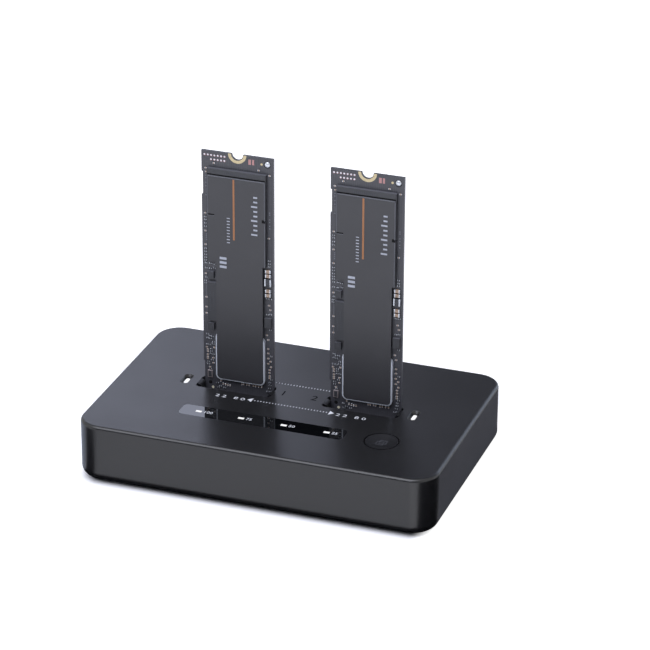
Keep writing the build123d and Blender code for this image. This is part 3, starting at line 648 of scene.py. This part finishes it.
arrow_length = 1.5 * MM
arrow_width = 2.4 * MM
arrow_gap = 0.5 * MM
bm = bmesh.new()
for line_y in line_places.values():
    for side in (-1, 1):
        start = layout_x + side * (line_half + arrow_gap)
        foot = [(start, line_y - arrow_width / 2), (start, line_y + arrow_width / 2)]
        tip = (start + side * arrow_length, line_y)
        corners = [bm.verts.new((x, y, top_z)) for x, y in (*foot, tip)]
        face = bm.faces.new(corners)
        rise = bmesh.ops.extrude_face_region(bm, geom=[face])["geom"]
        lifted = [v for v in rise if isinstance(v, bmesh.types.BMVert)]
        bmesh.ops.translate(bm, verts=lifted, vec=(0, 0, ink_thickness))
make_piece("shell_arrows", bm, "dock", white_ink)

size_words = "22 80"
size_height = 1.5 * MM
size_spacing = 1.5
size_width = 1.35
size_middle = 18.6 * MM
size_drop = 0.4 * MM
size_y = line_places["front"] - size_drop
bm = bmesh.new()
for side in (-1, 1):
    place = (layout_x + side * size_middle, size_y, print_middle)
    add_figures(bm, size_words, size_height, place, spacing=size_spacing, width=size_width)
bmesh.ops.remove_doubles(bm, verts=bm.verts, dist=ink_weld)
make_piece("shell_card_sizes", bm, "dock", white_ink)

# Bay numbers: cut shallow into the shell beside each opening, where no light comes back out, so they read as
# black figures. They are drawn as an inlay of dull black on the shell, painted shade that stands in for the
# dark of the cuts.
painted_shade_inlay, tree, shader = start_material("bay_numbers_painted_shade", {"Roughness": 0.9, "Specular IOR Level": 0.1})
vary(tree, shader, "Base Color", 1.0, "#0a0a0b", "#131315")
number_offset = 4.8 * MM
number_y = 2.9 * MM
number_height = 3.0 * MM
bm = bmesh.new()
for words, side in (("1", -1), ("2", 1)):
    add_figures(bm, words, number_height, (layout_x + side * number_offset, number_y, print_middle))
bmesh.ops.remove_doubles(bm, verts=bm.verts, dist=ink_weld)
make_piece("bay_numbers", bm, "dock", painted_shade_inlay)

# Copy button: a dished cap of the same ABS from a finer tool, held by its flange under the shell.
# Its sign, two sheets one over the other, stands slightly proud of the dish in dark grey paint. The switch
# is below it.
button_abs, tree, shader = start_material("fine_moulded_abs", {"Base Color": srgb("#18181b"), "IOR": 1.52})
vary(tree, shader, "Roughness", 6, 0.28, 0.36)
roughen(tree, shader, 0.2, 0.003)
paint(["copy_button", "copy_switch_plunger", "power_button"], button_abs)
button_low, button_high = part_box("copy_button")
button_middle = (button_low + button_high) / 2
dish_depth = 0.55 * MM
dish_half = 4.5 * MM
dish_radius = (dish_half**2 + dish_depth**2) / (2 * dish_depth)
sheet_side = 2.3 * MM
sheet_line = 0.3 * MM
sheet_shift = 0.75 * MM
sign_rise = 0.05 * MM
bm = bmesh.new()
half = sheet_side / 2
for shift in (-sheet_shift / 2, sheet_shift / 2):
    for low, high in (
        ((-half, -half), (half, -half + sheet_line)),
        ((-half, half - sheet_line), (half, half)),
        ((-half, -half + sheet_line), (-half + sheet_line, half - sheet_line)),
        ((half - sheet_line, -half + sheet_line), (half, half - sheet_line)),
    ):
        add_block(bm, (low[0] + shift, low[1] + shift, 0), (high[0] + shift, high[1] + shift, sign_rise))
bmesh.ops.subdivide_edges(bm, edges=bm.edges, cuts=2, use_grid_fill=True)
for vert in bm.verts:
    reach = Vector((vert.co.x, vert.co.y)).length
    vert.co.z += top_z - dish_depth + dish_radius - math.sqrt(dish_radius**2 - reach**2)
    vert.co.x += button_middle.x
    vert.co.y += button_middle.y
sign_paint, tree, shader = start_material("grey_sign_paint", {"IOR": 1.45, "Roughness": 0.5})
vary(tree, shader, "Base Color", 0.5, "#3a3b3f", "#44454a")
make_piece("copy_button_sign", bm, "copy_button", sign_paint)

# Data port: a folded sleeve of nickel-plated steel round a black tongue with gold contacts on both sides.
# It is soldered to the main board and looks out through the rear wall. The plating is bright and a little
# cloudy.
nickel_steel, tree, shader = start_material(
    "nickel_plated_steel", {"Base Color": srgb("#b4b7bb"), "Metallic": 1.0}
)
vary(tree, shader, "Roughness", 1.5, 0.2, 0.34)
paint(["data_port_shell"], nickel_steel)
paint(["data_port_tongue"], lcp)
tongue_low, tongue_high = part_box("data_port_tongue")
contact_count = 12
contact_pitch = 0.5 * MM
contact_width = 0.26 * MM
contact_length = 3.4 * MM
contact_thickness = 0.03 * MM
contact_inset = 0.4 * MM
contact_end = tongue_high.y - contact_inset
contact_start = contact_end - contact_length
bm = bmesh.new()
for i in range(contact_count):
    x = (tongue_low.x + tongue_high.x) / 2 + (i - (contact_count - 1) / 2) * contact_pitch
    x0, x1 = x - contact_width / 2, x + contact_width / 2
    for face, rise in ((tongue_high.z, contact_thickness), (tongue_low.z, -contact_thickness)):
        near, far = min(face, face + rise), max(face, face + rise)
        add_block(bm, (x0, contact_start, near), (x1, contact_end, far))
make_piece("data_port_contacts", bm, "dock", gold)

# Power inlet: a moulded block behind the rear wall with a round bore, and a brass pin in its middle.
# The plating is thin, so that a little of the brass's yellow shows.
brass, tree, shader = start_material(
    "nickel_plated_brass", {"Base Color": srgb("#d2c9a8"), "Metallic": 1.0}
)
vary(tree, shader, "Roughness", 1.0, 0.2, 0.3)
paint(["power_inlet_body"], lcp)
paint(["power_inlet_pin"], brass)

# Drive boards: glass-epoxy laminate under black solder mask, keyed at the foot and notched at the top.
# Each stands in the rear socket of its bay, and all that is soldered to it lifts out with it. The mask is
# greyer than the main board's, and the gold on the contacts is so thin that it looks pale.
drives = (1, 2)
thin_gold, tree, shader = start_material("thin_gold_plating", {"Metallic": 0.7, "Roughness": 0.42})
vary(tree, shader, "Base Color", 0.6, "#b0a07c", "#cbbf9c")
card_mask = solder_mask("card_solder_mask", "#3e3e43", "#48494e", "X", "Z")
card_corner = {number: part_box(f"drive_{number}_board")[0] for number in drives}
for number in drives:
    paint([f"drive_{number}_board"], card_mask)
    paint([f"drive_{number}_edge_contacts", f"drive_{number}_mount_ring"], thin_gold)


def add_part(bm, number, u, v, width, length, low, high, edge=0.0):
    """Adds a box to a drive's face, in mm: its middle u across and v up, from low to high off the card."""
    corner = card_corner[number]
    x, z = corner.x + u * MM, corner.z + v * MM
    half_width, half_length = width / 2 * MM, length / 2 * MM
    add_block(
        bm,
        (x - half_width, corner.y - high * MM, z - half_length),
        (x + half_width, corner.y - low * MM, z + half_length),
        edge * MM,
    )


# Drive chips: two stacks of flash memory, a cache chip, regulators, a small edge chip and a ferrite filter.
# They are moulded in black epoxy and sawn apart. Their upper sides are painted paler than their faces,
# painted light on the tops, and their faces carry faint laser marks, duller and lighter than the epoxy.
upward = 0.5
epoxy_painted_lit_tops, tree, shader = start_material("moulding_epoxy_painted_lit_tops", {"IOR": 1.55})
roughen(tree, shader, 0.12, 0.004)
vary(tree, shader, "Roughness", 2, 0.45, 0.6)
# Painted light: faces that point up take the paler grey.
facing = add_node(tree, "ShaderNodeNewGeometry")
split = add_node(tree, "ShaderNodeSeparateXYZ", {"Vector": facing.outputs["True Normal"]})
upper = add_node(tree, "ShaderNodeMath", {0: split.outputs["Z"], 1: upward}, operation="GREATER_THAN")
tint = add_node(tree, "ShaderNodeMixRGB", {0: upper.outputs[0], 1: srgb("#333438"), 2: srgb("#5e5f65")})
tree.links.new(tint.outputs[0], shader.inputs["Base Color"])
chips = ("memory_lower", "memory_upper", "cache_chip", "power_chips", "edge_chip")
for number in drives:
    paint([f"drive_{number}_{chip}" for chip in chips], epoxy_painted_lit_tops)
laser_mark, tree, shader = start_material("laser_marked_epoxy", {"Roughness": 0.7})
vary(tree, shader, "Base Color", 0.4, "#3a3b3f", "#4a4b50")
chip_top = 1.1
mark_top = chip_top + 0.01
marks = [(2.65, 30.2 + 0.6 * i, 0.5, 0.38) for i in range(11)]
marks += [(3.75, 30.6 + 0.55 * i, 0.35, 0.34) for i in range(11)]
marks += [(7.2 + 0.6 * i, 74.1, 0.36, 0.8) for i in range(12)]
marks += [(18.7, 74.3, 0.5, 0.5)]
for number in drives:
    bm = bmesh.new()
    for mark in marks:
        add_part(bm, number, *mark, chip_top, mark_top)
    make_piece(f"drive_{number}_laser_marks", bm, f"drive_{number}", laser_mark)

# Controllers: the chip under a stamped lid of nickel-plated copper, whose border shows round the foot of the
# label. The satin lid is painted near-white and only partly metallic, a painted reflection of the white of
# the studio, so that it looks pale and only half like metal.
lid_painted_pale, tree, shader = start_material(
    "nickel_lid_painted_reflection", {"Base Color": srgb("#dde2ea"), "Metallic": 0.3}
)
vary(tree, shader, "Roughness", 1.2, 0.3, 0.42)
for number in drives:
    paint([f"drive_{number}_controller"], lid_painted_pale)

# Labels: matt black film over the chips, with an orange stripe and plain rows of bars in silver ink.
# Its cut edge is rolled up a little, and the edge and the side lines along it are painted lighter than the
# film, a painted highlight where it catches the light. A crease at each side, where it bridges the gap
# between the memory chips, is a near-black mark of painted shade, and so is the shadow line on the chip
# above the label's top edge.
label_film, tree, shader = start_material("matt_label_film", {"IOR": 1.5})
vary(tree, shader, "Base Color", 12, "#363639", "#3a3a3d")
vary(tree, shader, "Roughness", 8, 0.34, 0.42)
roughen(tree, shader, 1.2, 0.004, 0.4)
stripe_ink, tree, shader = start_material("orange_label_ink", {"Roughness": 0.45})
vary(tree, shader, "Base Color", 1.0, "#a0683f", "#b27a50")
silver_ink, tree, shader = start_material("silver_label_ink", {"Roughness": 0.45})
vary(tree, shader, "Base Color", 0.6, "#a9adb6", "#c3c7d0")
# Painted highlight: the label's rolled edge and side lines, lighter than the film.
edge_highlight_paint, tree, shader = start_material("label_edge_painted_highlight", {"Roughness": 0.35})
vary(tree, shader, "Base Color", 4.0, "#5b5d63", "#6e7077")
# Painted shade: near-black marks for the creases, the shadow line above the label, the tooling hole and the
# ring round the solder pad.
painted_shade_black, tree, shader = start_material("painted_shade_marks", {"Roughness": 0.8, "Specular IOR Level": 0.2})
vary(tree, shader, "Base Color", 0.6, "#060607", "#0c0c0d")
film_top = 1.3
print_top = film_top + 0.02
crease_top = film_top + 0.01
edge_top = film_top + 0.04
edge_roll = 0.03
rolled_top = film_top + 0.06
rolled_roll = 0.05
stripe = (10.28, 63.2, 0.55, 18.8)
bars_end = 17.5
bar_widths = (1.9, 1.2, 1.2) * 3
bars = [(bars_end - width / 2, 56.4 + 1.45 * i, width, 0.5) for i, width in enumerate(bar_widths)]
bars += [(8.6, 52.8 + 0.95 * i, 0.9, 0.28) for i in range(9)]
bars += [(6.9, 44.9 + 1.35 * i, 2.1, 0.75) for i in range(3)]
creases = [(3.3, 60.9, 2.0, 0.45), (19.35, 60.9, 0.95, 0.95)]
label_top_painted_shadow = (11.0, 73.32, 17.6, 0.4)
rolled_edge = (11.03, 72.95, 17.6, 0.3)
side_edges = [(2.3, 66.9, 0.16, 11.6), (19.72, 66.9, 0.22, 11.6), (19.72, 53.4, 0.22, 13.8)]
side_edges += [(3.3, 60.6, 2.0, 0.16)]
for number in drives:
    body = f"drive_{number}"
    paint([f"drive_{number}_label"], label_film)
    bm = bmesh.new()
    add_part(bm, number, *stripe, film_top, print_top)
    make_piece(f"drive_{number}_label_stripe", bm, body, stripe_ink)
    bm = bmesh.new()
    for bar in bars:
        add_part(bm, number, *bar, film_top, print_top)
    make_piece(f"drive_{number}_label_bars", bm, body, silver_ink)
    bm = bmesh.new()
    for crease in creases:
        add_part(bm, number, *crease, film_top, crease_top)
    # Painted shadow: a dark line on the chip, above the label's top edge.
    add_part(bm, number, *label_top_painted_shadow, chip_top, mark_top)
    make_piece(f"drive_{number}_label_painted_shade", bm, body, painted_shade_black)
    bm = bmesh.new()
    # Painted highlight: the edges of the label.
    add_part(bm, number, *rolled_edge, film_top, rolled_top, rolled_roll)
    for edge in side_edges:
        add_part(bm, number, *edge, film_top, edge_top, edge_roll)
    make_piece(f"drive_{number}_label_edge", bm, body, edge_highlight_paint)

# Large ceramic capacitors and the filter, in a column by each drive's right edge: tan ceramic between
# tinned ends, and a ferrite block between wide tinned ends. The tan is mottled, and the tin has a satin
# grain.
ceramic, tree, shader = start_material("capacitor_ceramic", {"IOR": 1.6})
vary(tree, shader, "Base Color", 0.4, "#9b8675", "#ba9f87")
vary(tree, shader, "Roughness", 0.5, 0.4, 0.6)
tin, tree, shader = start_material("tinned_ends", {"Base Color": srgb("#c6cad2"), "Metallic": 1.0})
vary(tree, shader, "Roughness", 0.3, 0.3, 0.5)
column_u = 20.4
capacitor_vs = (45.0, 43.6, 38.85, 37.45)
capacitor_length = 1.7
capacitor_width = 1.0
end_length = 0.38
end_height = 0.7
block_size = (1.6, 0.94)
block_height = 0.67
block_edge = 0.04
filter_v = 41.6
filter_end = (0.42, 2.24)
filter_end_shift = 0.8
filter_end_height = 0.92
end_edge = 0.06
for number in drives:
    body = f"drive_{number}"
    ends, blocks = bmesh.new(), bmesh.new()
    for v in capacitor_vs:
        add_part(blocks, number, column_u, v, *block_size, 0, block_height, block_edge)
        for side in (-1, 1):
            u = column_u + side * (capacitor_length - end_length) / 2
            add_part(ends, number, u, v, end_length, capacitor_width, 0, end_height, end_edge)
    for side in (-1, 1):
        u = column_u + side * filter_end_shift
        add_part(ends, number, u, filter_v, *filter_end, 0, filter_end_height, end_edge)
    large = make_piece(f"drive_{number}_large_capacitors", blocks, body, ceramic)
    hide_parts(f"drive_{number}_capacitors")
    make_piece(f"drive_{number}_large_ends", ends, body, tin)
    paint([f"drive_{number}_filter"], ferrite)

# Small parts soldered round the controller and along the edges: capacitors in tan ceramic and black
# resistors, all with tinned ends, and a crystal in a frame of warm grey ceramic under a black lid. Spots
# are in mm, across and up from the card's lower left corner.
ceramic_spots = [(1.1, 41.5), (1.2, 34.0), (1.15, 30.8), (1.15, 28.8), (1.1, 17.8), (3.4, 17.9)]
ceramic_spots += [(1.4, v) for v in (17.1, 16.4, 15.4, 14.7, 14.1)]
ceramic_spots += [(3.1, 14.5), (3.1, 12.9), (2.1, 11.4), (19.9, 24.6), (21.0, 16.2), (21.1, 14.4)]
ceramic_spots += [(20.3, v) for v in (23.1, 20.2, 18.8, 17.1, 15.4)]
ceramic_spots += [(20.7, v) for v in (13.4, 12.5, 11.5, 10.8)]
ceramic_spots += [(20.6, 34.2), (21.0, 32.8), (1.4, 74.7), (1.5, 73.5), (20.9, 74.9), (17.6, 76.1)]
ceramic_spots += [(3.9, 76.5), (1.1, 60.6), (1.1, 55.0), (1.1, 50.7), (20.6, 55.4)]
upright_spots = [(u, 7.5) for u in (12.0, 12.6, 13.6, 14.3, 15.6, 16.3, 17.3, 18.2)]
upright_spots += [(5.4, 7.5), (6.1, 6.6), (6.9, 6.5), (7.6, 6.4), (8.3, 6.4)]
resistor_spots = [(1.1, v) for v in (59.4, 58.6, 57.4, 56.4, 49.4, 48.5, 47.5, 46.6, 45.8)]
resistor_spots += [(20.7, v) for v in (48.3, 47.4, 46.6)]
resistor_spots += [(1.2, 44.9), (2.5, 44.9), (3.6, 44.8), (1.2, 43.3), (2.5, 43.3), (3.7, 43.5)]
resistor_spots += [(1.3, 40.3), (1.0, 39.2), (1.0, 38.5), (20.1, 36.3), (21.1, 36.3), (20.1, 31.2)]
resistor_spots += [(21.1, 31.4), (1.4, 22.1), (1.4, 20.8), (2.1, 21.6), (2.9, 21.5), (2.2, 20.7)]
resistor_spots += [(1.2, 18.7), (2.1, 18.7), (3.2, 19.7), (3.1, 19.0), (2.5, 17.3), (2.5, 16.6)]
resistor_spots += [(2.4, 15.8), (3.3, 15.7), (2.8, 13.8), (1.6, 13.1), (1.6, 12.3), (2.2, 10.9)]
resistor_spots += [(21.0, 26.4), (21.2, 17.9), (21.2, 10.2), (20.8, 9.3), (20.8, 8.4), (20.6, 7.4)]
resistor_spots += [(20.0, 6.3), (20.9, 6.4), (4.3, 6.5), (5.3, 5.6), (4.6, 5.1), (6.6, 5.3)]
small_body = 0.34
small_end = 0.16
small_width = 0.4
small_height = 0.32
small_edge = 0.04
small_body_width = 0.36
small_body_height = 0.3
crystal_spot = (2.1, 9.35)
crystal_size = (1.5, 2.3)
crystal_height = 0.5
crystal_edge = 0.06
crystal_lid = (1.0, 1.8)
crystal_lid_top = crystal_height + 0.04
crystal_ceramic, tree, shader = start_material("crystal_can_ceramic", {"Roughness": 0.5})
vary(tree, shader, "Base Color", 0.5, "#7b7374", "#938989")
for number in drives:
    body = f"drive_{number}"
    ends, tans, blacks = bmesh.new(), bmesh.new(), bmesh.new()
    for blocks, spots, standing in (
        (tans, ceramic_spots, False),
        (tans, upright_spots, True),
        (blacks, resistor_spots, False),
    ):
        for u, v in spots:
            size = (small_body_width, small_body) if standing else (small_body, small_body_width)
            add_part(blocks, number, u, v, *size, 0, small_body_height)
            for side in (-1, 1):
                shift = side * (small_body + small_end) / 2
                place = (u, v + shift) if standing else (u + shift, v)
                size = (small_width, small_end) if standing else (small_end, small_width)
                add_part(ends, number, *place, *size, 0, small_height, small_edge)
    crystal = bmesh.new()
    add_part(crystal, number, *crystal_spot, *crystal_size, 0, crystal_height, crystal_edge)
    make_piece(f"drive_{number}_crystal", crystal, body, crystal_ceramic)
    add_part(blacks, number, *crystal_spot, *crystal_lid, crystal_height, crystal_lid_top)
    make_piece(f"drive_{number}_small_capacitors", tans, body, ceramic)
    make_piece(f"drive_{number}_small_resistors", blacks, body, chip_epoxy)
    make_piece(f"drive_{number}_small_ends", ends, body, tin)


# Bare metal on each card: rows of tinned vias in copper rings, a domed solder pad in a dark ring of painted
# shadow, shifted down and to the left, two copper pads, a gold dot, and a cream-coloured test point beside
# the tooling hole, drawn as a dark disc of painted shade.
def add_disc(bm, number, u, v, radius, low, high, sides=12):
    """Adds a flat disc to a drive's face, in mm."""
    corner = card_corner[number]
    middle = (corner.x + u * MM, corner.y - (low + high) / 2 * MM, corner.z + v * MM)
    matrix = Matrix.Translation(middle) @ Matrix.Rotation(math.pi / 2, 4, "X")
    bmesh.ops.create_cone(
        bm, cap_ends=True, segments=sides, radius1=radius * MM, radius2=radius * MM,
        depth=(high - low) * MM, matrix=matrix,
    )


copper, tree, shader = start_material("bare_copper", {"Base Color": srgb("#b98a88"), "Metallic": 0.3})
vary(tree, shader, "Roughness", 0.4, 0.4, 0.6)
pale_gold, tree, shader = start_material("flash_gold_test_point", {"Metallic": 0.2, "Roughness": 0.5})
vary(tree, shader, "Base Color", 0.4, "#ddd6ba", "#e8e2ca")
via_rows = ((1.0, 7, 78.8), (3.0, 5, 77.5))
via_pitch = 1.02
via_radius = 0.24
via_rise = 0.03
ring_radius = 0.33
ring_drop = 0.04
foil_rise = 0.02
copper_pads = [(14.8, 78.2, 0.8, 1.6), (15.85, 78.2, 0.6, 1.6)]
pad_u, pad_v = 20.2, 78.1
pad_radius = 0.85
pad_rise = 0.45
pad_sides = 24
pad_ring_radius = 1.02
pad_shadow_shift = 0.05
pad_ring_rise = 0.01
rounding = 1e-7
dot_spot = (18.4, 78.0)
dot_size = 0.36
test_spot = (2.85, 4.9)
test_radius = 0.42
test_rise = 0.04
hole_spot = (2.05, 6.4)
hole_radius = 0.55
round_sides = 20
for number in drives:
    body = f"drive_{number}"
    tins, coppers, golds = bmesh.new(), bmesh.new(), bmesh.new()
    for first, count, v in via_rows:
        for i in range(count):
            u = first + i * via_pitch
            add_disc(tins, number, u, v, via_radius, 0, via_rise)
            add_disc(coppers, number, u, v - ring_drop, ring_radius, 0, foil_rise)
    corner = card_corner[number]
    middle = (corner.x + pad_u * MM, corner.y, corner.z + pad_v * MM)
    dome = Matrix.Translation(middle) @ Matrix.Diagonal((1, pad_rise, 1, 1))
    bmesh.ops.create_uvsphere(
        tins, u_segments=pad_sides, v_segments=pad_sides // 2, radius=pad_radius * MM, matrix=dome
    )
    back_half = [v for v in tins.verts if v.co.y > corner.y + rounding]
    bmesh.ops.delete(tins, geom=back_half, context="VERTS")
    rim = [e for e in tins.edges if e.is_boundary]
    bmesh.ops.holes_fill(tins, edges=rim, sides=pad_sides)
    for pad in copper_pads:
        add_part(coppers, number, *pad, 0, foil_rise)
    add_disc(golds, number, *dot_spot, dot_size, 0, foil_rise)
    make_piece(f"drive_{number}_tinned_vias", tins, body, tin)
    make_piece(f"drive_{number}_copper_pads", coppers, body, copper)
    make_piece(f"drive_{number}_gold_dot", golds, body, thin_gold)
    bm = bmesh.new()
    add_disc(bm, number, *test_spot, test_radius, 0, test_rise, round_sides)
    make_piece(f"drive_{number}_test_point", bm, body, pale_gold)
    # Painted shade: a dark disc in place of the tooling hole.
    bm = bmesh.new()
    add_disc(bm, number, *hole_spot, hole_radius, 0, foil_rise, round_sides)
    make_piece(f"drive_{number}_tooling_hole", bm, body, painted_shade_black)
    # Painted shadow: a dark ring round the solder pad, shifted down and to the left.
    bm = bmesh.new()
    ring_spot = (pad_u - pad_shadow_shift, pad_v - pad_shadow_shift)
    add_disc(bm, number, *ring_spot, pad_ring_radius, 0, pad_ring_rise, pad_sides)
    make_piece(f"drive_{number}_solder_pad_ring", bm, body, painted_shade_black)

# Silkscreen on each card: thin lines and specks along both edges, beside the chips, printed in an ink of
# dull grey.
silkscreen, tree, shader = start_material("grey_silkscreen", {"Roughness": 0.6})
vary(tree, shader, "Base Color", 0.5, "#6a6c73", "#84868e")
silk_rise = 0.015
specks = [(1.2, 36.2, 0.1, 3.6), (1.2, 29.0, 0.1, 2.6)]
specks += [(1.3, v, 0.34, 0.3) for v in (72.3, 71.5, 70.1, 69.0, 66.2, 53.9, 53.3, 52.7, 52.1)]
specks += [(20.8, v, 0.34, 0.34) for v in (63.3, 62.7, 61.2, 60.4, 59.2, 58.4)]
specks += [(1.4, 67.6, 0.1, 1.6)]
for number in drives:
    bm = bmesh.new()
    for speck in specks:
        add_part(bm, number, *speck, 0, silk_rise)
    make_piece(f"drive_{number}_silkscreen", bm, f"drive_{number}", silkscreen)
